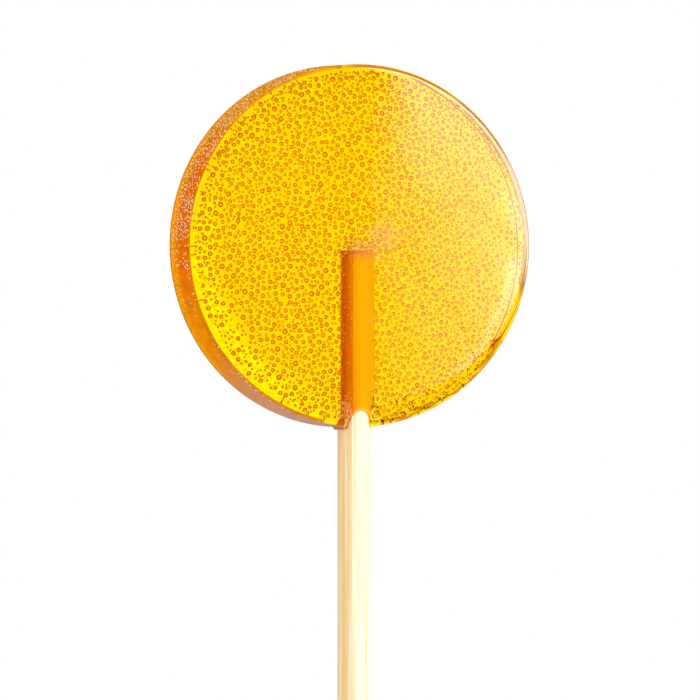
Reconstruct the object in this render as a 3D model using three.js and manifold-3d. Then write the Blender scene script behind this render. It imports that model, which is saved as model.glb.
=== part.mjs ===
// A flat round honey lollipop on a plain wooden stick, lying on its back with the front face up.
// Millimetres. +Z points out of the front face, and +Y from the stick towards the top of the candy.
// The origin is the middle of the candy's flat back, which rests on z = 0.

import * as THREE from "three";
import { mergeVertices } from "three/addons/utils/BufferGeometryUtils.js";
import Module from "manifold-3d";

// The candy: a poured disc with an upright wall.
const CANDY_RADIUS = 22; // at the front
const CANDY_THICKNESS = 7.5;
const WALL_SPREAD = 0.15; // how much wider the disc is at the back
const BACK_EDGE = 0.4; // rounding of the back edge
const FRONT_EDGE = 0.55; // rounding of the front edge, where it is sharpest
const CANDY_SEGMENTS = 96;
const BACK_EDGE_STEPS = 3;
const FRONT_EDGE_STEPS = 5;

// The front edge slumps towards the stick, most of all a little to its right.
const SLUMP_WIDTH = 1.25; // added to the rounding along the radius
const SLUMP_DROP = 0.4; // added to the rounding along the thickness
const SLUMP_MIDDLE = THREE.MathUtils.degToRad(20); // from the stick, anticlockwise
const SLUMP_HALF_ANGLE = THREE.MathUtils.degToRad(75);

// The stick: a round wooden rod set into the candy as far as its middle.
const STICK_RADIUS = 2.05;
const STICK_LENGTH = 115;
const STICK_HEIGHT = 4.8; // of its axis over the candy's back
const STICK_TIP = -0.5; // where its top end lies along Y
const STICK_CHAMFER = 0.15;
const STICK_SEGMENTS = 40;
const BORE_GAP = 0.2; // between the stick and the candy round it

// The candy ends round the stick in a small concave lip.
const LIP_REACH = 0.6; // past the wall
const LIP_SPREAD = 0.75; // over the stick's radius, at the wall
const LIP_RIM = 0.15; // thickness of its thin end
const LIP_ROOT = 1.6; // how far it is buried in the wall
const LIP_STEPS = 4;
const LIP_MIDDLE_REACH = 0.25; // where a slanting end cuts it off at the stick's axis
const LIP_SLANT = 0.09; // how much shorter it gets for each millimetre to the right

// Over the stick the front dips in a shallow dish, which leaves the top of the stick bare.
const DISH_HALF_WIDTH = 2.6;
const DISH_HALF_LENGTH = 3.2;
const DISH_HALF_DEPTH = 2.2;
const DISH_CENTRE = new THREE.Vector3(0.25, -CANDY_RADIUS - 0.8, CANDY_THICKNESS + 0.5);

const MERGE_DISTANCE = 1e-4;
const QUARTER_TURN = Math.PI / 2;

const wasm = await Module();
wasm.setup();

// A closed geometry as a solid that can be joined and cut.
function solidOf(geometry) {
  geometry.deleteAttribute("normal");
  geometry.deleteAttribute("uv");
  const merged = mergeVertices(geometry, MERGE_DISTANCE);
  return new wasm.Manifold(
    new wasm.Mesh({
      numProp: 3,
      vertProperties: merged.getAttribute("position").array,
      triVerts: new Uint32Array(merged.index.array),
    }),
  );
}

function geometryOf(solid) {
  const made = solid.getMesh();
  const geometry = new THREE.BufferGeometry();
  geometry.setAttribute("position", new THREE.BufferAttribute(made.vertProperties, 3));
  geometry.setIndex(new THREE.BufferAttribute(made.triVerts, 1));
  geometry.computeVertexNormals();
  return geometry;
}

// The points of a quarter ellipse round a centre, from one angle to a quarter turn further.
function quarterRound(centreX, centreY, width, height, startAngle, steps) {
  return Array.from({ length: steps + 1 }, (_, i) => {
    const angle = startAngle + (i / steps) * QUARTER_TURN;
    return new THREE.Vector2(centreX + width * Math.cos(angle), centreY + height * Math.sin(angle));
  });
}

// How far the front edge slumps at an angle from the stick: 0 to 1.
function slumpAt(angle) {
  const turn = Math.PI * 2;
  const away = Math.abs(((angle - SLUMP_MIDDLE + Math.PI + turn) % turn) - Math.PI);
  return away < SLUMP_HALF_ANGLE ? Math.cos((away / SLUMP_HALF_ANGLE) * QUARTER_TURN) ** 2 : 0;
}

// The disc's half section at an angle from the stick: radius and height, from the back's middle to the front's.
function discSection(angle) {
  const backRadius = CANDY_RADIUS + WALL_SPREAD;
  const frontWidth = FRONT_EDGE + SLUMP_WIDTH * slumpAt(angle);
  const frontDrop = FRONT_EDGE + SLUMP_DROP * slumpAt(angle);
  return [
    new THREE.Vector2(0, 0),
    ...quarterRound(backRadius - BACK_EDGE, BACK_EDGE, BACK_EDGE, BACK_EDGE, -QUARTER_TURN, BACK_EDGE_STEPS),
    ...quarterRound(
      CANDY_RADIUS - frontWidth, CANDY_THICKNESS - frontDrop, frontWidth, frontDrop, 0, FRONT_EDGE_STEPS,
    ),
    new THREE.Vector2(0, CANDY_THICKNESS),
  ];
}

// The disc is turned round Z from its section, which changes with the angle.
function discGeometry() {
  const disc = new THREE.LatheGeometry(discSection(0), CANDY_SEGMENTS);
  const position = disc.getAttribute("position");
  const sectionPoints = position.count / (CANDY_SEGMENTS + 1);
  for (let i = 0; i <= CANDY_SEGMENTS; i++) {
    const angle = ((i % CANDY_SEGMENTS) / CANDY_SEGMENTS) * Math.PI * 2;
    discSection(angle).forEach(({ x: radius, y: height }, j) => {
      position.setXYZ(i * sectionPoints + j, radius * Math.sin(angle), -radius * Math.cos(angle), height);
    });
  }
  return disc;
}

// A shape turned round the stick's axis, from a section of radius against place along Y, lowest first.
function roundTheStick(section) {
  const points = section.map(([radius, along]) => new THREE.Vector2(radius, along));
  return new THREE.LatheGeometry(points, STICK_SEGMENTS).translate(0, 0, STICK_HEIGHT);
}

function stickGeometry() {
  const tail = STICK_TIP - STICK_LENGTH;
  return roundTheStick([
    [0, tail],
    [STICK_RADIUS - STICK_CHAMFER, tail],
    [STICK_RADIUS, tail + STICK_CHAMFER],
    [STICK_RADIUS, STICK_TIP - STICK_CHAMFER],
    [STICK_RADIUS - STICK_CHAMFER, STICK_TIP],
    [0, STICK_TIP],
  ]);
}

function boreGeometry() {
  const mouth = -CANDY_RADIUS - LIP_REACH - 1;
  const radius = STICK_RADIUS + BORE_GAP;
  return roundTheStick([[0, mouth], [radius, mouth], [radius, STICK_TIP + BORE_GAP], [0, STICK_TIP + BORE_GAP]]);
}

// The lip ends in a slant, so that it stands out on the left of the stick and fades on the right.
function slantedLip() {
  const steepness = Math.hypot(LIP_SLANT, 1);
  const end = (-CANDY_RADIUS - LIP_MIDDLE_REACH) / steepness;
  return solidOf(lipGeometry()).trimByPlane([-LIP_SLANT / steepness, 1 / steepness, 0], end);
}

// The lip's side is a hollow curve, steep at the stick and flat at the wall.
function lipGeometry() {
  const rim = STICK_RADIUS + BORE_GAP + LIP_RIM;
  const root = STICK_RADIUS + LIP_SPREAD;
  const side = Array.from({ length: LIP_STEPS + 1 }, (_, i) => {
    const share = i / LIP_STEPS;
    return [rim + (root - rim) * share ** 2, -CANDY_RADIUS - LIP_REACH * (1 - share)];
  });
  const buried = -CANDY_RADIUS + LIP_ROOT;
  return roundTheStick([[0, -CANDY_RADIUS - LIP_REACH], ...side, [root, buried], [0, buried]]);
}

function dishGeometry() {
  return new THREE.SphereGeometry(1, 32, 20)
    .scale(DISH_HALF_WIDTH, DISH_HALF_LENGTH, DISH_HALF_DEPTH)
    .translate(DISH_CENTRE.x, DISH_CENTRE.y, DISH_CENTRE.z);
}

function candyGeometry() {
  const candy = solidOf(discGeometry())
    .add(slantedLip())
    .subtract(solidOf(dishGeometry()))
    .subtract(solidOf(boreGeometry()));
  return geometryOf(candy);
}

const honeyCandy = new THREE.MeshStandardMaterial({
  color: 0xf7b900,
  roughness: 0.08,
  metalness: 0,
  transparent: true,
  opacity: 0.7,
});
const paleWood = new THREE.MeshStandardMaterial({ color: 0xf3deb6, roughness: 0.65, metalness: 0 });

const candy = new THREE.Mesh(candyGeometry(), honeyCandy);
candy.name = "candy";

const stick = new THREE.Mesh(stickGeometry(), paleWood);
stick.name = "stick";

const lollipop = new THREE.Group();
lollipop.add(candy, stick);

export default lollipop;
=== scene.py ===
"""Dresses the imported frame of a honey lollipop: clear candy full of fine bubbles, on a wooden stick."""

import math

import bpy
import numpy as np
from mathutils import Euler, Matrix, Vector


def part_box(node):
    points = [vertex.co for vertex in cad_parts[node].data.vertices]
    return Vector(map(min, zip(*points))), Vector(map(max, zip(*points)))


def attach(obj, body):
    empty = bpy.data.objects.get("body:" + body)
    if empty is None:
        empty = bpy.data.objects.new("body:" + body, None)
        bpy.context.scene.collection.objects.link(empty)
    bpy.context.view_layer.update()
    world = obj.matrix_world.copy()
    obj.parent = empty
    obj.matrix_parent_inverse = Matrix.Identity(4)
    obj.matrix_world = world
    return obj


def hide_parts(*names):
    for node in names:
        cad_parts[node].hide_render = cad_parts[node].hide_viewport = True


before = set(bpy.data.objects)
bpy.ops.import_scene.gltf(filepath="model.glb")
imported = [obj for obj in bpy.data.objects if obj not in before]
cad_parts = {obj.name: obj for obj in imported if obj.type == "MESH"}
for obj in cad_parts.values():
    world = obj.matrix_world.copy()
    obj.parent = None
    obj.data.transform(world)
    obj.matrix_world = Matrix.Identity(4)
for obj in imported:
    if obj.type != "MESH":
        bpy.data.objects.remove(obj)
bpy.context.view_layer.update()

bl_info = {
    "name": "Honey Lollipop",
    "version": (1, 0, 0),
    "blender": (4, 5, 0),
    "location": "View3D > Sidebar > Lollipop",
    "description": "Makes the candy, bubbles and stick of a honey lollipop, and the stage that it lies on",
    "category": "Add Mesh",
}

MM = 0.001
BODY = "root"
_, CANDY_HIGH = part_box("candy")
STICK_LOW, STICK_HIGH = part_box("stick")
STICK_RADIUS = (STICK_HIGH.x - STICK_LOW.x) / 2
STICK_HEIGHT = (STICK_HIGH.z + STICK_LOW.z) / 2
WALL_SPREAD = 0.15 * MM  # how much wider the candy is at its back


# ---------------------------------------------------------------- settings

def length_prop(name, description, default):
    return bpy.props.FloatProperty(
        name=name, description=description, default=default, unit="LENGTH", subtype="DISTANCE", precision=5
    )


def color_prop(name, description, default):
    return bpy.props.FloatVectorProperty(
        name=name, description=description, default=default, subtype="COLOR", size=3, min=0.0, max=1.0
    )


def number_prop(name, description, default, low, high):
    return bpy.props.FloatProperty(name=name, description=description, default=default, min=low, max=high)


class CandySettings(bpy.types.PropertyGroup):
    """Sizes and colours of the poured disc."""

    thickness: length_prop("Thickness", "Height of the front face over the back", CANDY_HIGH.z)
    back_radius: length_prop("Back radius", "Radius of the disc at its back", CANDY_HIGH.x)
    wall_spread: length_prop("Wall spread", "How much wider the back is than the front", WALL_SPREAD)
    back_edge: length_prop("Back edge", "Rounding of the back edge", 0.22 * MM)
    front_edge: length_prop("Front edge", "Rounding of the front edge where it is sharpest", 0.55 * MM)
    slump_width: length_prop("Slump width", "Added to the front rounding along the radius", 1.25 * MM)
    slump_drop: length_prop("Slump drop", "Added to the front rounding along the thickness", 0.4 * MM)
    lip_reach: length_prop("Lip reach", "How far the lip at the stick stands past the wall", 0.6 * MM)
    sag: length_prop("Sag", "How far the front sinks before its rounding, beside the stick", 0.06 * MM)
    ripple_depth: length_prop("Ripple depth", "Low waves of the poured front", 0.002 * MM)
    clear_color: color_prop("Honey", "What the clear candy lets through", (0.9961, 0.9555, 0.0))
    density: number_prop("Density", "How strongly the candy tints light, per metre", 900.0, 0.0, 10000.0)
    refraction: number_prop("Refraction", "Index of refraction of boiled sugar", 1.5, 1.0, 3.0)
    glaze: number_prop("Glaze", "Index of refraction of the glossy skin", 2.2, 1.0, 4.0)
    # The film's colours are painted shade and glow: they stand in for what the left wall shows of the studio
    amber: color_prop("Amber", "Colour inside the middle of the left wall", (0.92, 0.25, 0.0))
    orange: color_prop("Orange", "Colour inside the left wall near the back", (1.0, 0.46, 0.0))
    golden: color_prop("Golden", "Colour inside the top end of the left wall", (0.84, 0.37, 0.0))
    buff: color_prop("Buff", "Colour inside its lower end", (0.80, 0.31, 0.07))
    brown: color_prop("Brown", "Colour along the front of its lower half", (0.76, 0.25, 0.0))
    # Painted shade on the candy's edges, not colours of the candy itself:
    rosy_edge_shade: color_prop("Rosy edge", "Tint of the right edge", (0.26, 0.17, 0.16))
    edge_shade_tint: color_prop("Browned edge", "Tint of the browned lines along the edge", (0.33, 0.10, 0.0))


class BubbleSettings(bpy.types.PropertyGroup):
    """Sizes of the air bubbles in the candy."""

    refraction: number_prop("Refraction", "Index of refraction of air against the candy", 0.56, 0.3, 1.0)
    largest: length_prop("Largest", "Radius of the few largest bubbles", 0.37 * MM)
    common: length_prop("Common", "Radius of most of the bubbles", 0.295 * MM)
    smallest: length_prop("Smallest", "Radius of the dots between them", 0.175 * MM)
    gap: length_prop("Gap", "Least candy between two bubbles", 0.055 * MM)
    layer: length_prop("Layer", "Depth of the layer of clear bubbles under the front", 0.5 * MM)


class FleckSettings(bpy.types.PropertyGroup):
    """Colours of the small flecks in the candy."""

    # the pale specks are painted glints, not specks of their own colour
    pale: color_prop("Pale", "Colour of the pale specks", (1.0, 0.88, 0.52))
    rosy: color_prop("Rosy", "Their darker mottling", (1.0, 0.66, 0.26))
    froth: color_prop("Froth", "Colour of the froth over the stick's tip", (1.0, 0.74, 0.40))
    peach: color_prop("Peach", "Its darker mottling", (1.0, 0.50, 0.14))
    # the larger orange flecks paint the shade that bubbles near the front show
    caramel: color_prop("Caramel", "Colour of the orange flecks", (1.0, 0.42, 0.02))
    burnt: color_prop("Burnt", "Their darker mottling", (0.80, 0.22, 0.0))
    dark: color_prop("Dark", "Colour of the dark flecks", (0.42, 0.15, 0.01))


class StickSettings(bpy.types.PropertyGroup):
    """Sizes and colours of the wooden stick."""

    radius: length_prop("Radius", "Radius of the rod", STICK_RADIUS)
    tip: length_prop("Tip", "Where the upper end lies along Y", STICK_HIGH.y)
    tail: length_prop("Tail", "Where the lower end lies along Y", STICK_LOW.y)
    height: length_prop("Height", "Height of the rod's axis over the candy's back", STICK_HEIGHT)
    chamfer: length_prop("Chamfer", "Bevel of both ends", 0.15 * MM)
    groove_depth: length_prop("Groove depth", "Depth of the grain in the surface", 0.018 * MM)
    swelling: length_prop("Swelling", "How much thicker the soaked wood is", 0.09 * MM)
    pale: color_prop("Pale wood", "Colour between the grain lines", (0.90, 0.79, 0.60))
    golden: color_prop("Grain", "Colour of the grain lines", (0.85, 0.58, 0.24))
    # the streak colour also paints the shade on the left of the soaked wood
    streak: color_prop("Streaks", "Colour of the dark streaks in the soaked wood", (0.84, 0.20, 0.0))
    soaked: color_prop("Soaked wood", "Colour of the wood inside the candy", (1.0, 0.56, 0.0))
    # a painted reflection under the lip, not a colour of the wood
    reflection_mauve: color_prop("Mauve", "Colour under the lip at its left", (0.60, 0.34, 0.25))


class StageSettings(bpy.types.PropertyGroup):
    """The camera, the floor and the studio's lights."""

    camera_turn: bpy.props.FloatProperty(
        name="Camera turn", description="How far to the left of the face's normal the camera stands",
        default=math.radians(20), subtype="ANGLE",
    )
    camera_distance: length_prop("Camera distance", "From the camera to the point it looks at", 0.8)
    frame_width: length_prop("Frame width", "What the picture is wide at the object", 700 * 0.122 * MM)
    floor_glow: number_prop("Floor glow", "Brightness of the backlit floor through the candy", 1.37, 0.0, 4.0)
    inner_glow: number_prop("Inner glow", "Brightness of its left side to things in the candy", 1.8, 0.0, 4.0)
    mirror_glow: number_prop("Mirror glow", "Brightness of the floor's image in the wall", 0.35, 0.0, 4.0)
    softbox_glow: number_prop("Softbox glow", "Brightness of the softbox at its far side", 2.6, 0.0, 20.0)
    glint: number_prop("Glint", "Brightness of the card that glints on the left edge", 3.0, 0.0, 20.0)


# ---------------------------------------------------------------- mesh helpers

def new_object(name, mesh):
    piece = bpy.data.objects.new(name, mesh)
    bpy.context.scene.collection.objects.link(piece)
    return piece


def mesh_from(name, points, faces):
    mesh = bpy.data.meshes.new(name)
    mesh.from_pydata(points, [], faces)
    mesh.validate()
    mesh.update()
    return mesh


def shade_smooth(mesh):
    mesh.polygons.foreach_set("use_smooth", [True] * len(mesh.polygons))
    return mesh


def add_attribute(mesh, name, values):
    attribute = mesh.attributes.new(name, "FLOAT", "POINT")
    attribute.data.foreach_set("value", np.asarray(values, np.float32))


def skin_of_rows(row_count, column_count):
    """Quads between closed rows of points, lowest first, turning anticlockwise seen from above the axis."""
    faces = []
    for row in range(row_count - 1):
        for column in range(column_count):
            after = (column + 1) % column_count
            low, high = row * column_count, (row + 1) * column_count
            faces.append((low + column, low + after, high + after, high + column))
    return faces


def capped(faces, row_count, column_count, first_pole, last_pole):
    """Adds fans that close the first and the last row."""
    last = (row_count - 1) * column_count
    for column in range(column_count):
        after = (column + 1) % column_count
        faces.append((first_pole, after, column))
        faces.append((last_pole, last + column, last + after))
    return faces


# ---------------------------------------------------------------- the candy's shape

SLUMP_MIDDLE = math.radians(20)  # from the stick, anticlockwise
SLUMP_HALF_ANGLE = math.radians(75)
LIP_SPREAD = 0.75 * MM
LIP_RIM = 0.35 * MM
LIP_MIDDLE_REACH = 0.25 * MM
LIP_SLANT = 0.09  # how fast the lip gets shorter to the right
DISH_HALF = Vector((2.6, 3.2, 2.2)) * MM
DISH_CENTRE = Vector((0.25 * MM, -CANDY_HIGH.x + WALL_SPREAD - 0.8 * MM, CANDY_HIGH.z + 0.5 * MM))
DISH_BLEND = 0.12 * MM
SAG_START = 18.6 * MM  # from the disc's axis
SAG_LENGTH = 3.0 * MM
EXIT_HALF_ANGLE, EXIT_BLEND = 0.1, 0.06  # radians of the rim over the stick, where its edge is sharper
EXIT_WIDTH, EXIT_DROP = 0.35 * MM, 0.30 * MM  # the edge's rounding there

BACK_SHARES = (0.12, 0.4, 0.7, 1.0)  # of the way out over the flat back
BACK_EDGE_ROWS = 5
WALL_ROWS = 14
FRONT_EDGE_ROWS = 10
# of the way out over the front, from its edge inwards
FRONT_SHARES = (*(1 - np.linspace(0, 0.22, 22)[1:]), *np.linspace(0.78, 0.02, 14)[1:])


def turned_from(angle, middle):
    return np.abs((angle - middle + math.pi) % math.tau - math.pi)


def slump_at(angle):
    """How far the front edge slumps at an angle from the stick: 0 to 1."""
    share = np.minimum(turned_from(angle, SLUMP_MIDDLE) / SLUMP_HALF_ANGLE, 1.0)
    return np.cos(share * math.pi / 2) ** 2


def ripple(x, y):
    """Low waves, about -1 to 1."""
    k = 1.0 / MM
    return (
        np.sin(0.55 * k * x + 0.21 * k * y + 1.1)
        + np.sin(0.31 * k * x - 0.62 * k * y + 0.4)
        + np.sin(0.83 * k * x + 0.74 * k * y + 2.3)
    ) / 3


def face_height(candy, x, y):
    """Height of the poured front, with the dish over the stick."""
    sag = np.clip((np.hypot(x, y) - SAG_START) / SAG_LENGTH, 0, 2) ** 2 * slump_at(np.arctan2(x, -y))
    front = candy.thickness + candy.ripple_depth * ripple(x, y) - candy.sag * sag
    inside = 1 - ((x - DISH_CENTRE.x) / DISH_HALF.x) ** 2 - ((y - DISH_CENTRE.y) / DISH_HALF.y) ** 2
    dish = DISH_CENTRE.z - DISH_HALF.z * np.sqrt(np.maximum(inside, 0))
    lower = np.minimum(front, dish)
    near = np.maximum(DISH_BLEND - np.abs(front - dish), 0) / DISH_BLEND
    return lower - DISH_BLEND * near ** 2 / 4


def lip_at(candy, x, z):
    """How far the lip reaches past the wall, by the distance from the stick's axis."""
    away = np.hypot(x, z - STICK_HEIGHT)
    rim = STICK_RADIUS + LIP_RIM
    root = STICK_RADIUS + LIP_SPREAD
    share = np.sqrt(np.clip((away - rim) / (root - rim), 0, 1))
    slanted_end = LIP_MIDDLE_REACH - LIP_SLANT * x
    return np.maximum(np.minimum(candy.lip_reach * (1 - share), slanted_end), 0)


def candy_angles():
    """Angles from the stick, closer together where the stick leaves the candy."""
    near = np.radians(np.arange(-12, 12, 0.25))
    far = np.radians(np.arange(12, 348, 0.5))
    return np.concatenate([near, far])


def candy_points(candy):
    """Rows of points from the middle of the back round the wall to the middle of the front."""
    angle = candy_angles()
    sine, cosine = np.sin(angle), np.cos(angle)
    stick_side = cosine > 0
    slump = slump_at(angle)
    over_stick = 1 - np.clip((turned_from(angle, 0) - EXIT_HALF_ANGLE) / EXIT_BLEND, 0, 1)
    width = candy.front_edge + candy.slump_width * slump
    width = width + (EXIT_WIDTH - width) * over_stick
    drop = candy.front_edge + candy.slump_drop * slump
    drop = drop + (EXIT_DROP - drop) * over_stick
    front_radius = candy.back_radius - candy.wall_spread
    rows = []

    def add_row(radius, height):
        rows.append(np.stack(np.broadcast_arrays(radius * sine, -radius * cosine, height), 1))

    def front_at(radius):
        return face_height(candy, radius * sine, -radius * cosine)

    back_flat = candy.back_radius - candy.back_edge
    for share in BACK_SHARES:
        add_row(back_flat * share, 0.0)
    for step in range(1, BACK_EDGE_ROWS + 1):
        turn = step / BACK_EDGE_ROWS * math.pi / 2
        add_row(back_flat + candy.back_edge * math.sin(turn), candy.back_edge * (1 - math.cos(turn)))
    wall_top = front_at(front_radius) - drop
    for step in range(1, WALL_ROWS + 1):
        height = candy.back_edge + (wall_top - candy.back_edge) * step / WALL_ROWS
        radius = candy.back_radius - candy.wall_spread * height / candy.thickness
        add_row(radius + lip_at(candy, radius * sine, height) * stick_side, height)
    lip_top = lip_at(candy, front_radius * sine, wall_top) * stick_side
    for step in range(1, FRONT_EDGE_ROWS + 1):
        share = step / FRONT_EDGE_ROWS
        turn = share * math.pi / 2
        radius = front_radius - width * (1 - math.cos(turn)) + lip_top * (1 - share)
        add_row(radius, front_at(radius) - drop * (1 - math.sin(turn)))
    for share in FRONT_SHARES:
        radius = (front_radius - width) * share
        add_row(radius, front_at(radius))
    return rows


def candy_mesh(candy):
    rows = candy_points(candy)
    columns = len(rows[0])
    count = len(rows) * columns
    middle = float(face_height(candy, np.zeros(1), np.zeros(1))[0])
    points = np.concatenate([*rows, [[0, 0, 0], [0, 0, middle]]])
    faces = capped(skin_of_rows(len(rows), columns), len(rows), columns, count, count + 1)
    return shade_smooth(mesh_from("candy_disc", points.tolist(), faces))


FILM_DEPTH = 0.38 * MM  # under the wall
FILM_THICKNESS = 0.1 * MM
FILM_ENDS = (90, 265)  # degrees from +X
FILM_FULL = (97, 256)  # where it has its full height
FILM_GAP = 0.3 * MM  # under the front's rounding
FILM_ROWS = 12


def film_mesh(candy):
    """A thin closed sheet that follows the left wall from inside and carries the wall's painted shade."""
    angle = np.radians(np.arange(FILM_ENDS[0], FILM_ENDS[1], 1.0))
    height = np.linspace(candy.back_edge, candy.thickness - candy.front_edge - FILM_GAP, FILM_ROWS)
    loop = [(h, 0.0) for h in height] + [(h, FILM_THICKNESS) for h in height[::-1]]
    share = np.interp(np.degrees(angle), (FILM_ENDS[0], *FILM_FULL, FILM_ENDS[1]), (0.02, 1.0, 1.0, 0.02))
    rows = []
    for turn, full in zip(angle, np.sin(share * math.pi / 2)):
        for h, inward in loop:
            h = candy.back_edge + (h - candy.back_edge) * full
            radius = candy.back_radius - candy.wall_spread * h / candy.thickness - FILM_DEPTH - inward
            rows.append((radius * math.cos(turn), radius * math.sin(turn), h))
    count = len(loop)
    faces = skin_of_rows(len(angle), count)
    last = (len(angle) - 1) * count
    for step in range(len(height) - 1):
        a, b = step, count - 1 - step
        faces.append((a, b, b - 1, a + 1))
        faces.append((last + a, last + a + 1, last + b - 1, last + b))
    return shade_smooth(mesh_from("painted_shade_film", rows, faces))


# ---------------------------------------------------------------- material helpers

WHITE = (1.0, 1.0, 1.0)


def new_material(name):
    material = bpy.data.materials.new(name)
    material.use_nodes = True
    material.node_tree.nodes.clear()
    return material, material.node_tree


def node(tree, kind, **values):
    """A node with its sockets and settings set by name, where an underscore may stand for a space."""
    made = tree.nodes.new(kind)
    for key, value in values.items():
        label = key.replace("_", " ")
        if label in made.inputs:
            put(tree, value, made.inputs[label])
        else:
            setattr(made, key, value)
    return made


def put(tree, value, socket):
    """Links one socket to another, or sets its plain value. A plain colour is given without its alpha."""
    if isinstance(value, bpy.types.NodeSocket):
        tree.links.new(value, socket)
    else:
        socket.default_value = (*value, 1.0) if socket.type == "RGBA" else value


def smooth(tree, value, low, high, bottom=0.0, top=1.0):
    """A value between bottom and top that eases over as the given one goes from low to high."""
    return node(
        tree, "ShaderNodeMapRange", interpolation_type="SMOOTHSTEP", Value=value,
        From_Min=low, From_Max=high, To_Min=bottom, To_Max=top,
    ).outputs["Result"]


def calculated(tree, kind, operation, values, **settings):
    made = node(tree, kind, operation=operation, **settings)
    for socket, value in zip(made.inputs, values):
        put(tree, value, socket)
    return made.outputs


def maths(tree, operation, *values, clamp=False):
    return calculated(tree, "ShaderNodeMath", operation, values, use_clamp=clamp)[0]


def chain(tree, operation, first, *others):
    for other in others:
        first = maths(tree, operation, first, other)
    return first


def product(tree, *values):
    return chain(tree, "MULTIPLY", *values)


def total(tree, *values):
    return chain(tree, "ADD", *values)


def highest(tree, *values):
    return chain(tree, "MAXIMUM", *values)


def dot(tree, vector, direction):
    return calculated(tree, "ShaderNodeVectorMath", "DOT_PRODUCT", (vector, direction))["Value"]


def length_of(tree, vector):
    return calculated(tree, "ShaderNodeVectorMath", "LENGTH", (vector,))["Value"]


def unit(tree, vector):
    return calculated(tree, "ShaderNodeVectorMath", "NORMALIZE", (vector,))["Vector"]


def mix(tree, share, first, second, kind="FLOAT"):
    return node(tree, "ShaderNodeMix", data_type=kind, Factor=share, A=first, B=second).outputs["Result"]


def blend(tree, share, first, second):
    """A mix of two colours."""
    return mix(tree, share, first, second, "RGBA")


def ramp(tree, value, stops):
    """The colour at a value on a ramp of (position, colour) stops."""
    made = node(tree, "ShaderNodeValToRGB", Fac=value)
    elements = made.color_ramp.elements
    elements.remove(elements[1])
    for index, (position, color) in enumerate(stops):
        element = elements.new(position) if index else elements[0]
        element.position = position
        element.color = (*color, 1.0)
    return made.outputs["Color"]


def object_place(tree):
    """Object coordinates, and their three parts."""
    place = node(tree, "ShaderNodeTexCoord").outputs["Object"]
    parts = node(tree, "ShaderNodeSeparateXYZ", Vector=place).outputs
    return place, parts["X"], parts["Y"], parts["Z"]


def noise(tree, vector, scale, detail=2.0):
    return node(tree, "ShaderNodeTexNoise", Vector=vector, Scale=scale, Detail=detail).outputs["Fac"]


def stretched(tree, vector, *scale):
    return node(tree, "ShaderNodeMapping", Vector=vector, Scale=scale).outputs["Vector"]


def bumped(tree, height, strength, distance):
    return node(tree, "ShaderNodeBump", Height=height, Strength=strength, Distance=distance).outputs["Normal"]


def finish_surface(tree, surface, volume=None):
    output = node(tree, "ShaderNodeOutputMaterial", Surface=surface.outputs[0])
    if volume:
        put(tree, volume.outputs["Volume"], output.inputs["Volume"])


# ---------------------------------------------------------------- materials

WAVE_HEIGHT = 0.001  # millimetres, as the rest of the relief
WRINKLE_HEIGHT = 0.02
WAVER = 0.9 * MM  # of the edge's tints
FRONT_RIM = (5.5 * MM, 6.0 * MM)  # heights from which the edge is tinted


def candy_relief(tree):
    """Height of the candy's relief in millimetres: waves, and wrinkles at the stick and the lower right."""
    place, x, y, _ = object_place(tree)
    beside = smooth(tree, maths(tree, "ABSOLUTE", x), 3.0 * MM, 4.5 * MM, 1.0, 0.0)
    at_exit = product(
        tree, noise(tree, place, 2600.0), beside, smooth(tree, y, -19.0 * MM, -20.5 * MM, 0.0, WRINKLE_HEIGHT)
    )
    aslant = dot(tree, place, (0.57, -0.82, 0.0))
    lower_right = product(
        tree, noise(tree, place, 1500.0, 3.0), smooth(tree, aslant, 18 * MM, 20.5 * MM, 0.0, WRINKLE_HEIGHT)
    )
    waves = product(tree, noise(tree, place, 900.0), WAVE_HEIGHT)
    return total(tree, at_exit, lower_right, waves)


def candy_tint(tree, candy):
    """Clear, but for painted shade on the edge: a rosy right edge and darker lines along the edge and at the
    lip, where the rounded edge and the lip look darker in the studio's light.
    """
    place, x, y, z = object_place(tree)
    flat = node(tree, "ShaderNodeCombineXYZ", X=x, Y=y).outputs["Vector"]
    away, outward = length_of(tree, flat), unit(tree, flat)
    waver = product(tree, maths(tree, "SUBTRACT", noise(tree, place, 700.0), 0.5), WAVER)
    ragged = total(tree, away, waver)

    def side(degrees, start, full):
        """One at an angle from +X, and zero where the cosine of the turn from it is less than start."""
        angle = math.radians(degrees)
        return smooth(tree, dot(tree, outward, (math.cos(angle), math.sin(angle), 0)), start, full)

    front = smooth(tree, z, *FRONT_RIM)
    rosy = product(tree, front, side(20, 0.78, 0.84), smooth(tree, ragged, 20.85 * MM, 21.1 * MM))
    top_line = product(tree, front, side(76, 0.90, 0.97), smooth(tree, away, 21.5 * MM, 21.7 * MM))
    line_at = maths(tree, "SUBTRACT", 22.0 * MM, product(tree, side(-75, 0.80, 0.95), 0.45 * MM))
    off_line = maths(tree, "ABSOLUTE", maths(tree, "SUBTRACT", ragged, line_at))
    lower_line = product(
        tree, front, side(-48, 0.74, 0.86), smooth(tree, off_line, 0.09 * MM, 0.2 * MM, 1.0, 0.0)
    )
    along = product(tree, dot(tree, place, (0.88, 0.47, 0.0)), 0.12)
    arcs = node(tree, "ShaderNodeCombineXYZ", X=away, Y=along, Z=product(tree, z, 0.4)).outputs["Vector"]
    streaks = smooth(tree, noise(tree, arcs, 2600.0, 3.0), 0.46, 0.62)
    near_edge = smooth(tree, ragged, 19.2 * MM, 21.6 * MM, 0.0, 0.95)
    lower_rim = product(tree, front, side(-62, 0.80, 0.90), near_edge, streaks)
    lip = smooth(tree, away, 22.15 * MM, 22.35 * MM, 0.0, 0.7)
    # painted shade: the darker lines along the rounded edge and at the lip
    edge_shade = highest(tree, top_line, lower_line, lower_rim, lip)
    return blend(tree, edge_shade, blend(tree, rosy, WHITE, candy.rosy_edge_shade), candy.edge_shade_tint)


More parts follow.
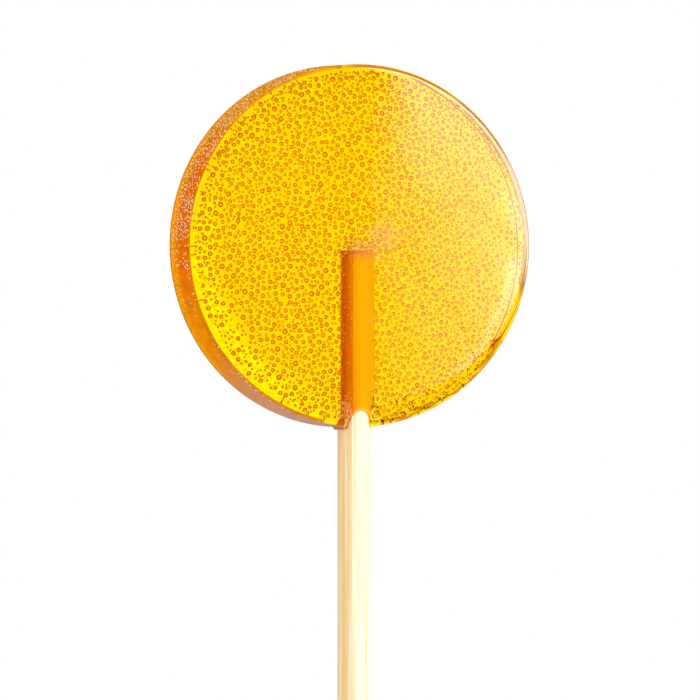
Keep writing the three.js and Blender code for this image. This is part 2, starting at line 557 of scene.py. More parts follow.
def candy_material(candy):
    """Clear and glossy, with a strong glaze on the front alone and painted shade along the edges."""
    material, tree = new_material("honey_candy")
    normal = node(tree, "ShaderNodeNewGeometry").outputs["Normal"]
    upward = node(tree, "ShaderNodeSeparateXYZ", Vector=normal).outputs["Z"]
    surface = node(
        tree, "ShaderNodeBsdfPrincipled", Base_Color=candy_tint(tree, candy), Roughness=0.02,
        IOR=candy.refraction, Transmission_Weight=1.0, Coat_Weight=smooth(tree, upward, 0.70, 0.97),
        Coat_Roughness=0.02, Coat_IOR=candy.glaze, Normal=bumped(tree, candy_relief(tree), 1.0, MM),
    )
    tint = node(tree, "ShaderNodeVolumeAbsorption", Color=candy.clear_color, Density=candy.density)
    finish_surface(tree, surface, tint)
    return material


def film_material(candy):
    """Painted shade and glow of the left wall, in place of what the wall shows of the studio: mottled amber,
    orange towards the back, golden at its top end, brown and buff at its lower end.
    """
    material, tree = new_material("painted_shade_film")
    place, _, y, z = object_place(tree)
    mottle = noise(tree, stretched(tree, place, 1.0, 1.0, 0.4), 1300.0, 3.0)
    height = total(tree, z, product(tree, maths(tree, "SUBTRACT", mottle, 0.5), 2.5 * MM))
    lower = smooth(tree, y, -3 * MM, -10 * MM, 0.0, 0.6)
    toward_back = highest(tree, smooth(tree, height, 3.4 * MM, 1.2 * MM), lower)
    front = product(tree, smooth(tree, height, 5.4 * MM, 6.3 * MM), smooth(tree, y, -5 * MM, -10 * MM))
    color = blend(tree, toward_back, candy.amber, candy.orange)
    color = blend(tree, smooth(tree, y, 9 * MM, 18 * MM), color, candy.golden)
    color = blend(tree, smooth(tree, y, -14 * MM, -18 * MM), color, candy.buff)
    color = blend(tree, front, color, candy.brown)
    grains = smooth(tree, noise(tree, place, 4200.0), 0.35, 0.6, 0.86, 1.0)
    shade = product(tree, smooth(tree, mottle, 0.3, 0.55, 0.82, 1.0), grains)
    shaded = node(tree, "ShaderNodeVectorMath", operation="SCALE", Vector=color, Scale=shade)
    surface = node(
        tree, "ShaderNodeBsdfPrincipled", Base_Color=shaded.outputs["Vector"], Roughness=0.5,
        Specular_IOR_Level=0.0,
    )
    finish_surface(tree, surface)
    return material


def bubble_material(bubbles):
    material, tree = new_material("air_bubble")
    air = node(tree, "ShaderNodeBsdfGlass", Color=WHITE, Roughness=0.0, IOR=bubbles.refraction)
    finish_surface(tree, air)
    return material


def mottle_group():
    """Fine mottling between two colours and its height, which all the flecks share."""
    tree = bpy.data.node_groups.new("mottle", "ShaderNodeTree")
    for label in ("Light", "Dark"):
        tree.interface.new_socket(label, in_out="INPUT", socket_type="NodeSocketColor")
    tree.interface.new_socket("Color", in_out="OUTPUT", socket_type="NodeSocketColor")
    tree.interface.new_socket("Height", in_out="OUTPUT", socket_type="NodeSocketFloat")
    given, result = tree.nodes.new("NodeGroupInput").outputs, tree.nodes.new("NodeGroupOutput").inputs
    height = smooth(tree, noise(tree, object_place(tree)[0], 6000.0, 3.0), 0.38, 0.62)
    put(tree, blend(tree, height, given["Dark"], given["Light"]), result["Color"])
    put(tree, height, result["Height"])
    return tree


def fleck_material(name, mottling, light, dark, roughness):
    """A small solid fleck, mottled between two colours."""
    material, tree = new_material(name)
    mottle = node(tree, "ShaderNodeGroup", node_tree=mottling, Light=light, Dark=dark).outputs
    surface = node(
        tree, "ShaderNodeBsdfPrincipled", Base_Color=mottle["Color"], Roughness=roughness,
        Normal=bumped(tree, mottle["Height"], 0.5, 0.01 * MM),
    )
    finish_surface(tree, surface)
    return material


def stick_material(stick):
    """Pale grained wood with painted light on its right, and streaky wood soaked in syrup inside the candy,
    with painted shade on its left and a painted mauve reflection under the lip.
    """
    material, tree = new_material("pale_wood")
    place, x, y, _ = object_place(tree)
    grain = noise(tree, stretched(tree, place, 1.0, 0.008, 1.0), 3600.0)
    # painted light: the bare wood is paler to the right and more golden to the left
    painted_light_right = smooth(tree, x, -1.8 * MM, 0.4 * MM, -0.10, 0.09)
    bare = ramp(tree, total(tree, grain, painted_light_right), ((0.40, stick.golden), (0.58, stick.pale)))
    streaks = smooth(tree, noise(tree, stretched(tree, place, 1.0, 0.03, 1.0), 1100.0, 3.0), 0.62, 0.40)
    # painted shade: the soaked wood darkens towards its left side, where less light falls
    left = smooth(tree, total(tree, x, product(tree, grain, 0.8 * MM)), -1.5 * MM, 0.6 * MM, 0.95, 0.0)
    shaded = total(tree, left, product(tree, streaks, 0.25))
    # painted reflection: a mauve patch on the soaked wood under the lip
    painted_reflection_under_lip = product(
        tree, smooth(tree, y, -20.9 * MM, -21.7 * MM), smooth(tree, x, 0.2 * MM, -0.8 * MM)
    )
    syrup = blend(tree, painted_reflection_under_lip, blend(tree, shaded, stick.soaked, stick.streak), stick.reflection_mauve)
    soaked = node(tree, "ShaderNodeAttribute", attribute_name="soaked").outputs["Fac"]
    surface = node(
        tree, "ShaderNodeBsdfPrincipled", Base_Color=blend(tree, soaked, bare, syrup), Roughness=0.7,
        Specular_IOR_Level=0.15, Normal=bumped(tree, grain, 0.3, 0.05 * MM),
    )
    finish_surface(tree, surface)
    return material


# ---------------------------------------------------------------- geometry node helpers

def modifier_tree(name, inputs):
    """A modifier's tree with Geometry in and out and the named inputs, and what goes into and out of it."""
    tree = bpy.data.node_groups.new(name, "GeometryNodeTree")
    tree.is_modifier = True
    for label, kind in {"Geometry": "NodeSocketGeometry", **inputs}.items():
        tree.interface.new_socket(label, in_out="INPUT", socket_type=kind)
    tree.interface.new_socket("Geometry", in_out="OUTPUT", socket_type="NodeSocketGeometry")
    return tree, tree.nodes.new("NodeGroupInput").outputs, tree.nodes.new("NodeGroupOutput").inputs


def run_tree(name, carrier, tree, values):
    """The carrier mesh with the tree run on it, as a plain mesh in a new object."""
    holder = new_object(name, carrier)
    modifier = holder.modifiers.new(tree.name, "NODES")
    modifier.node_group = tree
    for item in tree.interface.items_tree:
        if item.item_type == "SOCKET" and item.in_out == "INPUT" and item.name in values:
            modifier[item.identifier] = values[item.name]
    evaluated = holder.evaluated_get(bpy.context.evaluated_depsgraph_get())
    mesh = bpy.data.meshes.new_from_object(evaluated)
    mesh.name = name
    holder.modifiers.remove(modifier)
    holder.data = mesh
    bpy.data.meshes.remove(carrier)
    return holder


BUBBLE_INPUTS = {
    "Size": "NodeSocketFloat",
    "Facets": "NodeSocketInt",
    "Seed": "NodeSocketInt",
    "Material": "NodeSocketMaterial",
}


def bubble_tree():
    """A round bubble on every point, as large as the point's radius says, each closed and turned outwards."""
    tree, given, result = modifier_tree("bubble_layer", BUBBLE_INPUTS)
    stored = node(tree, "GeometryNodeInputNamedAttribute", data_type="FLOAT", Name="radius")
    radius = maths(tree, "MULTIPLY", stored.outputs["Attribute"], given["Size"])
    turn = node(tree, "FunctionNodeRandomValue", data_type="FLOAT_VECTOR", Seed=given["Seed"])
    turn.inputs[1].default_value = (math.tau,) * 3
    sphere = node(tree, "GeometryNodeMeshIcoSphere", Radius=1.0, Subdivisions=given["Facets"])
    rounded = node(tree, "GeometryNodeSetShadeSmooth", Geometry=sphere.outputs["Mesh"])
    spread = node(
        tree, "GeometryNodeInstanceOnPoints", Points=given["Geometry"], Instance=rounded.outputs["Geometry"],
        Rotation=turn.outputs[0], Scale=radius,
    )
    real = node(tree, "GeometryNodeRealizeInstances", Geometry=spread.outputs["Instances"])
    dressed = node(
        tree, "GeometryNodeSetMaterial", Geometry=real.outputs["Geometry"], Material=given["Material"]
    )
    put(tree, dressed.outputs["Geometry"], result["Geometry"])
    return tree


# ---------------------------------------------------------------- where the bubbles lie

def between(random, low, high, count):
    return low + (high - low) * random.random(count)


def polar(away, turn, height):
    """Points at a distance from the disc's axis and an angle from +X."""
    return np.stack([away * np.cos(turn), away * np.sin(turn), height], 1)


def cut_off(value):
    """A value between 0 and 1."""
    return min(max(value, 0), 1)


class Packing:
    """Circles laid on the face one by one, largest first, that keep a gap between them."""

    def __init__(self, gap, cell):
        self.gap = gap
        self.cell = cell
        self.grid = {}
        self.placed = []

    def key(self, x, y):
        return math.floor(x / self.cell), math.floor(y / self.cell)

    def fits(self, x, y, radius):
        column, row = self.key(x, y)
        for i in (column - 1, column, column + 1):
            for j in (row - 1, row, row + 1):
                for other_x, other_y, other_radius in self.grid.get((i, j), ()):
                    if math.hypot(x - other_x, y - other_y) < radius + other_radius + self.gap:
                        return False
        return True

    def add(self, x, y, radius):
        self.grid.setdefault(self.key(x, y), []).append((x, y, radius))
        self.placed.append((x, y, radius))


MOST_TRIES = 20


def pack_face(random, reach, sizes, gap, allowed, scale_at=lambda x: 1.0):
    """Places circles of each (radius, spread, wanted) on a disc, thinned out by allowed(x, y), 0 to 1."""
    packing = Packing(gap, 2 * max(size[0] + size[1] for size in sizes) + gap)
    for middle, spread, wanted in sizes:
        full = len(packing.placed) + wanted
        for _ in range(wanted * MOST_TRIES):
            if len(packing.placed) == full:
                break
            away, turn = reach * math.sqrt(random.random()), random.random() * math.tau
            x, y = away * math.cos(turn), away * math.sin(turn)
            radius = scale_at(x) * (middle + spread * (2 * random.random() - 1))
            if random.random() < allowed(x, y) and packing.fits(x, y, radius):
                packing.add(x, y, radius)
    return np.array(packing.placed)


# ---------------------------------------------------------------- the stick's shape

STICK_COLUMNS = 128
STICK_EXIT = (-23.5 * MM, -17.5 * MM)  # the stretch with the finest rows, where the stick leaves the candy
GRAIN_WAVES = 14
RAGGED = 0.14 * MM  # how ragged the upper end is, over the last RAGGED_LENGTH
RAGGED_LENGTH = 0.5 * MM
SWELL_START, SWELL_LENGTH = -21 * MM, 3 * MM
SYRUP_PAST_WALL = 0.3 * MM
SYRUP_OVER_FRONT = 0.03 * MM
SYRUP_BLEND = 0.12 * MM


def stick_mesh(stick, candy):
    """The rod with its grain, and how soaked in syrup each of its points is."""
    angle = np.arange(STICK_COLUMNS) / STICK_COLUMNS * math.tau
    along = np.concatenate([
        np.linspace(stick.tail + stick.chamfer, STICK_EXIT[0], 48)[:-1],
        np.linspace(*STICK_EXIT, 60)[:-1],
        np.linspace(STICK_EXIT[1], stick.tip - stick.chamfer, 14),
    ])
    random = np.random.default_rng(5)
    waves = [
        (random.integers(9, 44), random.random() * math.tau, random.random() * 40) for _ in range(GRAIN_WAVES)
    ]

    def groove(y):
        depth = np.zeros(STICK_COLUMNS)
        for count, phase, drift in waves:
            depth += np.sin(count * angle + phase + drift * y)
        return stick.groove_depth * depth / len(waves) ** 0.5

    ragged_end = RAGGED * (2 + np.sin(7 * angle) + np.sin(17 * angle + 1.0))
    rows = []

    def add_row(radius, y):
        # inside the candy the soaked wood has swollen a little, more so on the right
        swell = stick.swelling * cut_off((y - SWELL_START) / SWELL_LENGTH)
        radius = radius + swell
        y = y - ragged_end * (y > stick.tip - RAGGED_LENGTH)
        rows.append(np.stack([
            swell + radius * np.cos(angle), y, stick.height + radius * np.sin(angle)
        ], 1))

    end_radius = stick.radius - stick.chamfer
    add_row(end_radius * 0.5, stick.tail)
    add_row(end_radius, stick.tail)
    for y in along:
        add_row(stick.radius + groove(y) - stick.groove_depth, y)
    add_row(end_radius, stick.tip)
    add_row(end_radius * 0.5, stick.tip)
    count = len(rows) * STICK_COLUMNS
    points = np.concatenate([*rows, [[0, stick.tail, stick.height], [0, stick.tip, stick.height]]])
    faces = capped(skin_of_rows(len(rows), STICK_COLUMNS), len(rows), STICK_COLUMNS, count, count + 1)
    mesh = mesh_from("wooden_stick", points.tolist(), faces)
    mesh.flip_normals()
    x, y, z = points.T
    wall = -np.sqrt(np.maximum((candy.back_radius - candy.wall_spread) ** 2 - x ** 2, 0)) - SYRUP_PAST_WALL
    inside = np.minimum(y - wall, face_height(candy, x, y) - z + SYRUP_OVER_FRONT)
    add_attribute(mesh, "soaked", np.clip(inside / SYRUP_BLEND + 0.5, 0, 1))
    return shade_smooth(mesh)


# ---------------------------------------------------------------- operators

def finish_piece(piece, replaced=None, lets_light_by=False):
    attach(piece, BODY)
    if replaced:
        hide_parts(replaced)
    if lets_light_by:
        piece.visible_shadow = False


def strew(tree, name, points, radii, material, facets, seed, lets_light_by=False):
    """Makes a piece of bubbles or flecks, one on each point."""
    carrier = mesh_from(name, points.tolist(), [])
    add_attribute(carrier, "radius", radii)
    values = {"Size": 1.0, "Facets": facets, "Seed": seed, "Material": material}
    finish_piece(run_tree(name, carrier, tree, values), lets_light_by=lets_light_by)


class LOLLIPOP_OT_candy(bpy.types.Operator):
    """Makes the poured disc of clear honey candy"""

    bl_idname = "lollipop.candy"
    bl_label = "Candy"

    def execute(self, context):
        candy = context.scene.lollipop_candy
        piece = new_object("candy_disc", candy_mesh(candy))
        piece.data.materials.append(candy_material(candy))
        finish_piece(piece, "candy", lets_light_by=True)
        return {"FINISHED"}


class LOLLIPOP_OT_film(bpy.types.Operator):
    """Makes the amber film inside the left wall, a sheet of painted shade"""

    bl_idname = "lollipop.film"
    bl_label = "Film"

    def execute(self, context):
        candy = context.scene.lollipop_candy
        piece = new_object("painted_shade_film", film_mesh(candy))
        piece.data.materials.append(film_material(candy))
        finish_piece(piece)
        return {"FINISHED"}


BUBBLE_FACETS = 2
LARGE = 0.205 * MM  # radius over which a bubble shows as a ring
DEEP_COUNT, STUCK_COUNT, EDGE_COUNT = 800, 110, 100
EDGE_GAP = 0.95 * MM  # from the disc's edge to the middle of the outermost bubble


def bubbles_wanted(x, y):
    """Share of the bubbles at a place: none over the stick, and fewer to the right and at the lower left."""
    beside = abs(x + 0.3 * MM) - (STICK_RADIUS + 0.25 * MM)
    above = y - (STICK_HIGH.y + 0.3 * MM)
    lower_left = 0.85 * x + 0.53 * y
    fewer = 0.8 * cut_off(max((x - 12 * MM) / (7 * MM), (-15.5 * MM - lower_left) / (3 * MM)))
    return 1 - fewer if max(beside, above) > 0 else 0


def smaller_right(x):
    return 1 - 0.22 * cut_off((x - 2 * MM) / (12 * MM))


def stuck_to_stick(random, count):
    """Bubbles that cling to both sides of the stick inside the candy, and a few above its tip."""
    radius = between(random, 0.09 * MM, 0.19 * MM, count)
    turn = np.radians(between(random, 5, 50, count))
    aside = np.where(random.random(count) < 0.55, -1.0, 1.0)
    away = STICK_RADIUS + radius + np.where(aside > 0, 0.21 * MM, 0.04 * MM)
    along = between(random, -20 * MM, -0.9 * MM, count)
    points = np.stack([aside * away * np.cos(turn), along, STICK_HEIGHT + away * np.sin(turn)], 1)
    few = count // 5
    points[:few, 0] = between(random, -2.1 * MM, 2.2 * MM, few)
    points[:few, 1] = STICK_HIGH.y + radius[:few] + between(random, 0.03 * MM, 0.25 * MM, few)
    points[:few, 2] = STICK_HEIGHT + between(random, 0.4 * MM, 2.0 * MM, few)
    return points, radius


class LOLLIPOP_OT_bubbles(bpy.types.Operator):
    """Strews the air bubbles through the candy"""

    bl_idname = "lollipop.bubbles"
    bl_label = "Bubbles"

    def execute(self, context):
        candy = context.scene.lollipop_candy
        bubbles = context.scene.lollipop_bubbles
        tree = bubble_tree()
        air = bubble_material(bubbles)
        random = np.random.default_rng(7)
        reach = candy.back_radius - EDGE_GAP
        sizes = (
            (bubbles.largest, 0.02 * MM, 130), (bubbles.common, 0.03 * MM, 1200),
            (bubbles.smallest, 0.035 * MM, 2100),
        )
        x, y, radius = pack_face(random, reach, sizes, bubbles.gap, bubbles_wanted, smaller_right).T
        depth = 0.12 * MM + radius + bubbles.layer * random.random(len(x))
        points = np.stack([x, y, face_height(candy, x, y) - depth], 1)
        large = radius > LARGE
        strew(tree, "ring_bubbles", points[large], radius[large], air, BUBBLE_FACETS, 3, lets_light_by=True)
        strew(tree, "dot_bubbles", points[~large], radius[~large], air, BUBBLE_FACETS, 11, lets_light_by=True)

        sizes = ((0.15 * MM, 0.04 * MM, DEEP_COUNT),)
        x, y, radius = pack_face(random, reach, sizes, 0.2 * MM, bubbles_wanted).T
        deep = np.stack([x, y, candy.thickness - (1.3 + 1.5 * random.random(len(x))) * MM], 1)
        stuck, stuck_radius = stuck_to_stick(random, STUCK_COUNT)
        turn = np.radians(between(random, 108, 200, EDGE_COUNT))
        away = between(random, 20.4 * MM, 21.35 * MM, EDGE_COUNT)
        along_edge = polar(away, turn, between(random, 5.6 * MM, 7.1 * MM, EDGE_COUNT))
        edge_radius = between(random, 0.08 * MM, 0.13 * MM, EDGE_COUNT)
        strew(
            tree, "deep_bubbles", np.concatenate([deep, stuck, along_edge]),
            np.concatenate([radius, stuck_radius, edge_radius]), air, BUBBLE_FACETS, 11, lets_light_by=True,
        )
        return {"FINISHED"}


SPECK_GAP = 0.42 * MM
SPECK_SUNK = 0.48  # share of its radius that a speck is sunk in the wall
SPECK_GROUPS = (  # how many, the first and last angle from +X in degrees, and the heights in millimetres
    (350, 128, 178, 1.2, 6.9), (80, 104, 128, 1.2, 6.9), (30, 178, 187, 1.0, 6.8),
    (14, 186, 204, 4.4, 6.8), (8, 186, 200, 1.0, 2.6), (12, 206, 244, 6.3, 6.9),
)
FROTH_CLOUDS = (  # how many, their middle and their spread, and the greatest depth, in millimetres
    (620, (3.1, 1.4), (1.1, 0.9), 0.3),  # over the right of the stick's tip
    (420, (0.6, -0.4), (1.2, 0.7), 0.45),  # over its middle
    (150, (-1.9, -20.0), (0.35, 0.9), 0.3),  # at its left where it leaves the candy
)
FROTH_DEPTH = 0.08 * MM  # the least
FLECK_FACETS = 1
STUCK_SPECKS, CARAMELS, SINGED_BITS, DARK_FLECKS = 13, 16, 150, 110
DARKER = 0.4  # brightness of the dark flecks' mottling


def wall_points(random, candy, count, first, last, low, high):
    """Points on the candy's wall between two angles from +X and two heights, kept apart."""
    points = []
    for _ in range(count * MOST_TRIES):
        if len(points) == count:
            break
        angle = math.radians(first + (last - first) * random.random())
        height = low + (high - low) * random.random()
        radius = candy.back_radius - candy.wall_spread * height / candy.thickness
        point = np.array([radius * math.cos(angle), radius * math.sin(angle), height])
        if all(np.hypot(*(point - other)[:2]) + abs(point[2] - other[2]) > SPECK_GAP for other in points):
            points.append(point)
    return np.array(points)


def cloud_points(random, candy, count, middle, spread, deepest):
    """Points in a cloud close under the front."""
    x = middle[0] * MM + spread[0] * MM * random.standard_normal(count)
    y = middle[1] * MM + spread[1] * MM * random.standard_normal(count)
    deeper = (deepest * MM - FROTH_DEPTH) * random.random(count)
    return np.stack([x, y, face_height(candy, x, y) - FROTH_DEPTH - deeper], 1)


class LOLLIPOP_OT_flecks(bpy.types.Operator):
    """Strews the pale specks of painted glint, the froth, the orange flecks and the dark flecks"""

    bl_idname = "lollipop.flecks"
    bl_label = "Flecks"

    def execute(self, context):
        candy = context.scene.lollipop_candy
        flecks = context.scene.lollipop_flecks
        tree = bubble_tree()
        random = np.random.default_rng(19)
        mottling = mottle_group()

        # fine pale specks in the left wall, painted glints that stand in for the highlights of tiny bubbles
        # there, sunk until only their caps stand out
        specks = np.concatenate([
            wall_points(random, candy, count, first, last, low * MM, high * MM)
            for count, first, last, low, high in SPECK_GROUPS
        ])
        radii = between(random, 0.11 * MM, 0.18 * MM, len(specks))
        outward = specks[:, :2] / np.linalg.norm(specks[:, :2], axis=1)[:, None]
        specks[:, :2] -= outward * SPECK_SUNK * radii[:, None]
        froth = np.concatenate([cloud_points(random, candy, *cloud) for cloud in FROTH_CLOUDS])
        # a few pale specks on the stick, painted highlights of the bubbles that cling to it
        along = between(random, -18 * MM, -1 * MM, STUCK_SPECKS)
        aside = np.where(random.random(STUCK_SPECKS) < 0.6, -1.0, 1.0)
        aside = aside * between(random, 0.9 * MM, 1.6 * MM, STUCK_SPECKS)
        stuck = np.stack([aside, along, STICK_HEIGHT + np.sqrt((2.25 * MM) ** 2 - aside ** 2)], 1)
        froth_radii = between(random, 0.04 * MM, 0.08 * MM, len(froth))
        radii = np.concatenate([radii, between(random, 0.06 * MM, 0.1 * MM, STUCK_SPECKS)])
        pale = fleck_material("painted_glint_speck", mottling, flecks.pale, flecks.rosy, 0.6)
        strew(tree, "painted_glint_specks", np.concatenate([specks, stuck]), radii, pale, FLECK_FACETS, 5)
        peach = fleck_material("froth", mottling, flecks.froth, flecks.peach, 0.6)
        strew(tree, "froth", froth, froth_radii, peach, FLECK_FACETS, 6)

        # a few orange flecks, which paint the shade that bubbles near the front show, and fine singed bits
        # over the stick's tip
        away = 18 * MM * np.sqrt(random.random(CARAMELS))
        turn = random.random(CARAMELS) * math.tau
        caramel = polar(away, turn, between(random, 6.2 * MM, 7.0 * MM, CARAMELS))
        x = -0.9 * MM + 1.0 * MM * random.standard_normal(SINGED_BITS)
        y = -0.1 * MM + 0.6 * MM * random.standard_normal(SINGED_BITS)
        singed = np.stack([x, y, between(random, 6.9 * MM, 7.15 * MM, SINGED_BITS)], 1)
        radii = np.concatenate([
            between(random, 0.12 * MM, 0.22 * MM, CARAMELS), between(random, 0.05 * MM, 0.1 * MM, SINGED_BITS)
        ])
        orange = fleck_material("orange_fleck", mottling, flecks.caramel, flecks.burnt, 0.4)
        strew(tree, "orange_flecks", np.concatenate([caramel, singed]), radii, orange, FLECK_FACETS, 8)

        # dark flecks near the wall at the lower right, most of them close to the stick
        turn = np.radians(-85 + 45 * random.random(DARK_FLECKS) ** 1.6)
        away = between(random, 18.6 * MM, 21.5 * MM, DARK_FLECKS)
        dark = polar(away, turn, between(random, 5.6 * MM, 6.8 * MM, DARK_FLECKS))
        radii = between(random, 0.08 * MM, 0.16 * MM, DARK_FLECKS)
        darker = [DARKER * part for part in flecks.dark]
        brown = fleck_material("dark_fleck", mottling, flecks.dark, darker, 0.4)
        strew(tree, "dark_flecks", dark, radii, brown, FLECK_FACETS, 9)
        return {"FINISHED"}


class LOLLIPOP_OT_stick(bpy.types.Operator):
    """Makes the round wooden stick"""

    bl_idname = "lollipop.stick"
    bl_label = "Stick"

    def execute(self, context):
        stick = context.scene.lollipop_stick
        piece = new_object("wooden_stick", stick_mesh(stick, context.scene.lollipop_candy))
        piece.data.materials.append(stick_material(stick))
        finish_piece(piece, "stick")
        return {"FINISHED"}


CAMERA_TARGET = Vector((0, -12.7 * MM, 3.3 * MM))
FLOOR_SIZE = 12.0
FLOOR_GAP = 0.05 * MM  # under the candy
CANDY_REACH = 22.6 * MM  # where the floor beneath the candy ends
BRIGHT_SIDE = (0.85, -0.53, 0.0)
GLINT_SIDE = (-0.966, 0.259, 0.0)
CARD_SIDE = (-0.955, 0.27, 0.12)
SPOT = (0.985, 0.995)  # cosines of the outer and the inner edge of the glinting card
FAR_SIDE = (-0.707, 0.707, 0.0)
SOFTBOX_HEIGHT = 1.0
SOFTBOX_SIDES = (0.0, 0.7, -0.035, 0.5)  # left, right, lower and upper, from where it stands
VEIL_START = 1.97 * MM  # where its image begins on the front
VEIL_TURN = math.radians(20.2)  # from the face's normal to the softbox's left edge, seen from there
KEY_PLACE = (0.55, -0.15, 0.75)
KEY_TARGET = Vector((0, -0.03, 0))
KEY_SIZE = 0.5
KEY_POWER = 4.2
SHADED_SIDE = (0.72, 0.085, 0.0)  # what the bubbles' rims see to the left
OPEN_SIDE = (1.8, 0.85, 0.1)  # and to the right
TOP_SIDE = (0.80, 0.32, 0.02)  # what the top of the wall mirrors
RIGHT_GLOW = 1.1  # brightness of the right side to what is set in the candy


def ray_kinds(tree):
    """Which rays came straight through the clear candy, from something set in it, or off a mirror."""
    path = node(tree, "ShaderNodeLightPath").outputs
    through = maths(tree, "SUBTRACT", path["Is Transmission Ray"], path["Diffuse Depth"], clamp=True)
    from_inside = maths(tree, "SUBTRACT", path["Is Transmission Ray"], through)
    bounced = maths(tree, "SUBTRACT", path["Is Reflection Ray"], path["Is Diffuse Ray"], clamp=True)
    return through, from_inside, bounced


def toward_spot(tree, vector, direction):
    """One where a vector points the given way, zero away from it."""
    return smooth(tree, dot(tree, unit(tree, vector), direction), *SPOT)


def strength_of(tree, from_inside, bounced, across, reach, mirrored, stage):
    """Plain to the eye, brighter on the left to what is set in the candy, and another to a mirror."""
    inner = smooth(tree, across, -reach, reach, stage.inner_glow, RIGHT_GLOW)
    return mix(tree, bounced, mix(tree, from_inside, 1.0, inner), mirrored)


def glow_material(name, glow_of):
    """An emitter whose colour and strength come from glow_of(tree)."""
    material, tree = new_material(name)
    color, strength = glow_of(tree)
    finish_surface(tree, node(tree, "ShaderNodeEmission", Color=color, Strength=strength))
    return material


def floor_material(stage):
    """Backlit white: plain to the camera, brighter under the candy, and dim where the wall mirrors it."""
    def glow(tree):
        through, from_inside, bounced = ray_kinds(tree)
        place, x, y, _ = object_place(tree)
        away = length_of(tree, place)
        beneath = (1.1 * stage.floor_glow, stage.floor_glow, stage.floor_glow)
        open_side = smooth(tree, dot(tree, place, BRIGHT_SIDE), -8 * MM, 14 * MM)
        around = blend(tree, open_side, SHADED_SIDE, beneath)
        clear = blend(tree, smooth(tree, away, CANDY_REACH, 24.0 * MM), beneath, around)
        ends = smooth(tree, maths(tree, "ABSOLUTE", y), 14 * MM, 21 * MM, 0.01, stage.mirror_glow)
        at_top = product(tree, smooth(tree, y, 8 * MM, 19 * MM, 0.0, 0.8), smooth(tree, x, 8 * MM, -2 * MM))
        right = product(
            tree, smooth(tree, away, 22.3 * MM, 23.3 * MM, 0.0, 0.9), smooth(tree, x, 0.0, 8 * MM),
            smooth(tree, y, -16 * MM, -4 * MM, 0.1, 1.0),
        )
        glint = product(
            tree, toward_spot(tree, place, GLINT_SIDE), smooth(tree, away, 27 * MM, 31 * MM), stage.glint
        )
        mirrored = highest(tree, ends, right, glint, at_top)
        color = blend(tree, through, WHITE, clear)
        color = blend(tree, product(tree, bounced, smooth(tree, y, 2 * MM, 7 * MM)), color, TOP_SIDE)
        return color, strength_of(tree, from_inside, bounced, x, 20 * MM, mirrored, stage)

    return glow_material("backlit_floor", glow)


VEIL_WIDTH = 0.047  # of the softbox's left part, over which the veil grows
VEIL_STEPS = ((0.0, 0.02), (0.21, 0.06), (0.6, 0.20), (0.76, 0.29), (0.84, 0.37), (0.91, 0.65), (1.0, 1.0))


def softbox_material(stage):
    """Brighter towards its far side and its upper end, as the veil over the candy is."""
    def glow(tree):
        _, x, y, _ = object_place(tree)
        across = node(tree, "ShaderNodeMapRange", Value=x, From_Max=VEIL_WIDTH).outputs["Result"]
        veil = ramp(tree, across, [(place, (level,) * 3) for place, level in VEIL_STEPS])
        upper = product(tree, smooth(tree, y, 0.034, 0.072, 0.0, 0.23), smooth(tree, x, 0.001, 0.015))
        lower_end = smooth(tree, y, -0.034, -0.026, 0.0, stage.softbox_glow)
        corner = product(tree, smooth(tree, x, 0.042, 0.055), smooth(tree, y, 0.022, -0.006))
        dimmer = product(tree, smooth(tree, y, -0.01, 0.045, 0.5, 1.0), mix(tree, corner, 1.0, 0.45))
        return WHITE, product(tree, total(tree, veil, upper), lower_end, dimmer)

    return glow_material("softbox", glow)


def plane_mesh(name, low_x, high_x, low_y, high_y):
    points = [(low_x, low_y, 0), (high_x, low_y, 0), (high_x, high_y, 0), (low_x, high_y, 0)]
    return mesh_from(name, points, [(0, 1, 2, 3)])


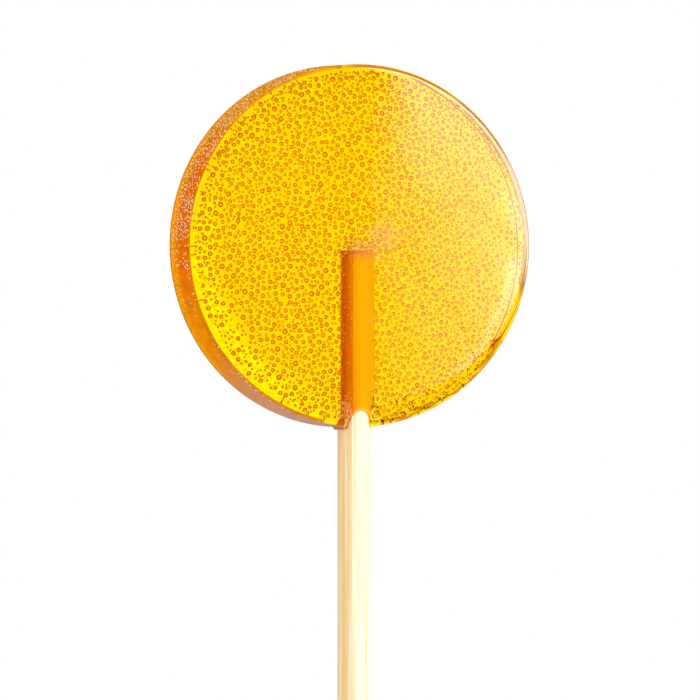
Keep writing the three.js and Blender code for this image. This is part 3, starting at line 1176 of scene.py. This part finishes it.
class LOLLIPOP_OT_stage(bpy.types.Operator):
    """Sets up the camera, the floor, the world and the studio's lights"""

    bl_idname = "lollipop.stage"
    bl_label = "Stage"

    def execute(self, context):
        scene = context.scene
        stage = scene.lollipop_stage
        scene.view_settings.view_transform = "Standard"
        scene.cycles.max_bounces = 32
        scene.cycles.transmission_bounces = 32
        scene.cycles.glossy_bounces = 24
        scene.cycles.diffuse_bounces = 6
        scene.cycles.transparent_max_bounces = 16
        self.camera(scene, stage)
        self.floor(stage)
        self.world(scene, stage)
        self.lights(stage)
        return {"FINISHED"}

    def camera(self, scene, stage):
        lens = bpy.data.cameras.new("camera")
        camera = new_object("camera", lens)
        turn = stage.camera_turn
        toward = Vector((-math.sin(turn), 0, math.cos(turn)))
        camera.location = CAMERA_TARGET + stage.camera_distance * toward
        camera.rotation_euler = Euler((0, -turn, 0))
        lens.sensor_width = 36
        lens.lens = lens.sensor_width * stage.camera_distance / stage.frame_width
        lens.clip_start = 0.05
        scene.camera = camera

    def floor(self, stage):
        half = FLOOR_SIZE / 2
        floor = new_object("floor", plane_mesh("floor", -half, half, -half, half))
        floor.location.z = -FLOOR_GAP
        floor.data.materials.append(floor_material(stage))

    def world(self, scene, stage):
        world = bpy.data.worlds.new("studio")
        scene.world = world
        world.use_nodes = True
        tree = world.node_tree
        tree.nodes.clear()
        through, from_inside, bounced = ray_kinds(tree)
        direction = node(tree, "ShaderNodeTexCoord").outputs["Generated"]
        x, y, z = node(tree, "ShaderNodeSeparateXYZ", Vector=direction).outputs
        # what the candy's walls see: bright to the right, dark to the left and overhead
        low_down = smooth(tree, z, 0.5, 0.9, 1.0, 0.0)
        open_side = smooth(tree, dot(tree, direction, BRIGHT_SIDE), -0.1, 0.5)
        warm = blend(tree, product(tree, low_down, open_side), SHADED_SIDE, OPEN_SIDE)
        color = blend(tree, through, WHITE, warm)
        # what its outside mirrors: a window on the right, a small card on the left and a pale horizon behind
        across = maths(tree, "ABSOLUTE", maths(tree, "SUBTRACT", y, 0.12))
        window = product(tree, smooth(tree, x, 0.72, 0.88), smooth(tree, across, 0.16, 0.27, 4.2, 0.06))
        card = product(tree, toward_spot(tree, direction, CARD_SIDE), stage.glint)
        far = smooth(tree, dot(tree, direction, FAR_SIDE), 0.2, 0.5)
        horizon = total(tree, product(tree, smooth(tree, z, 0.35, 0.05, 0.0, 0.8), far), 0.004)
        mirrored = highest(tree, window, card, horizon)
        strength = strength_of(tree, from_inside, bounced, x, 0.3, mirrored, stage)
        background = node(tree, "ShaderNodeBackground", Color=color, Strength=strength)
        node(tree, "ShaderNodeOutputWorld", Surface=background.outputs[0])

    def lights(self, stage):
        left_edge = VEIL_START + (SOFTBOX_HEIGHT - CANDY_HIGH.z) * math.tan(VEIL_TURN)
        softbox = new_object("softbox", plane_mesh("softbox", *SOFTBOX_SIDES))
        softbox.location = (left_edge, CAMERA_TARGET.y, SOFTBOX_HEIGHT)
        softbox.data.flip_normals()
        softbox.data.materials.append(softbox_material(stage))
        softbox.visible_camera = False
        lamp = bpy.data.lights.new("key", "AREA")
        key = new_object("key", lamp)
        lamp.shape = "DISK"
        lamp.size = KEY_SIZE
        lamp.energy = KEY_POWER
        key.location = KEY_PLACE
        key.rotation_euler = (KEY_TARGET - key.location).to_track_quat("-Z", "Y").to_euler()
        key.visible_glossy = False
        key.visible_transmission = False


class LOLLIPOP_PT_panel(bpy.types.Panel):
    """Lists the pieces of the lollipop"""

    bl_idname = "LOLLIPOP_PT_panel"
    bl_label = "Honey lollipop"
    bl_space_type = "VIEW_3D"
    bl_region_type = "UI"
    bl_category = "Lollipop"

    def draw(self, context):
        for operator in OPERATORS:
            self.layout.operator(operator.bl_idname)
        for group in SETTINGS:
            values = getattr(context.scene, group)
            box = self.layout.box()
            for name in values.bl_rna.properties.keys():
                if name not in {"rna_type", "name"}:
                    box.prop(values, name)


SETTINGS = {
    "lollipop_candy": CandySettings,
    "lollipop_bubbles": BubbleSettings,
    "lollipop_flecks": FleckSettings,
    "lollipop_stick": StickSettings,
    "lollipop_stage": StageSettings,
}
OPERATORS = (
    LOLLIPOP_OT_stage, LOLLIPOP_OT_candy, LOLLIPOP_OT_film, LOLLIPOP_OT_bubbles, LOLLIPOP_OT_flecks,
    LOLLIPOP_OT_stick,
)
CLASSES = (*SETTINGS.values(), *OPERATORS, LOLLIPOP_PT_panel)


def register():
    for group in CLASSES:
        bpy.utils.register_class(group)
    for name, group in SETTINGS.items():
        setattr(bpy.types.Scene, name, bpy.props.PointerProperty(type=group))


def unregister():
    for name in SETTINGS:
        delattr(bpy.types.Scene, name)
    for group in reversed(CLASSES):
        bpy.utils.unregister_class(group)


def main():
    register()
    bpy.ops.lollipop.stage()
    bpy.ops.lollipop.candy()
    bpy.ops.lollipop.film()
    bpy.ops.lollipop.stick()
    bpy.ops.lollipop.bubbles()
    bpy.ops.lollipop.flecks()


if __name__ == "__main__":
    main()
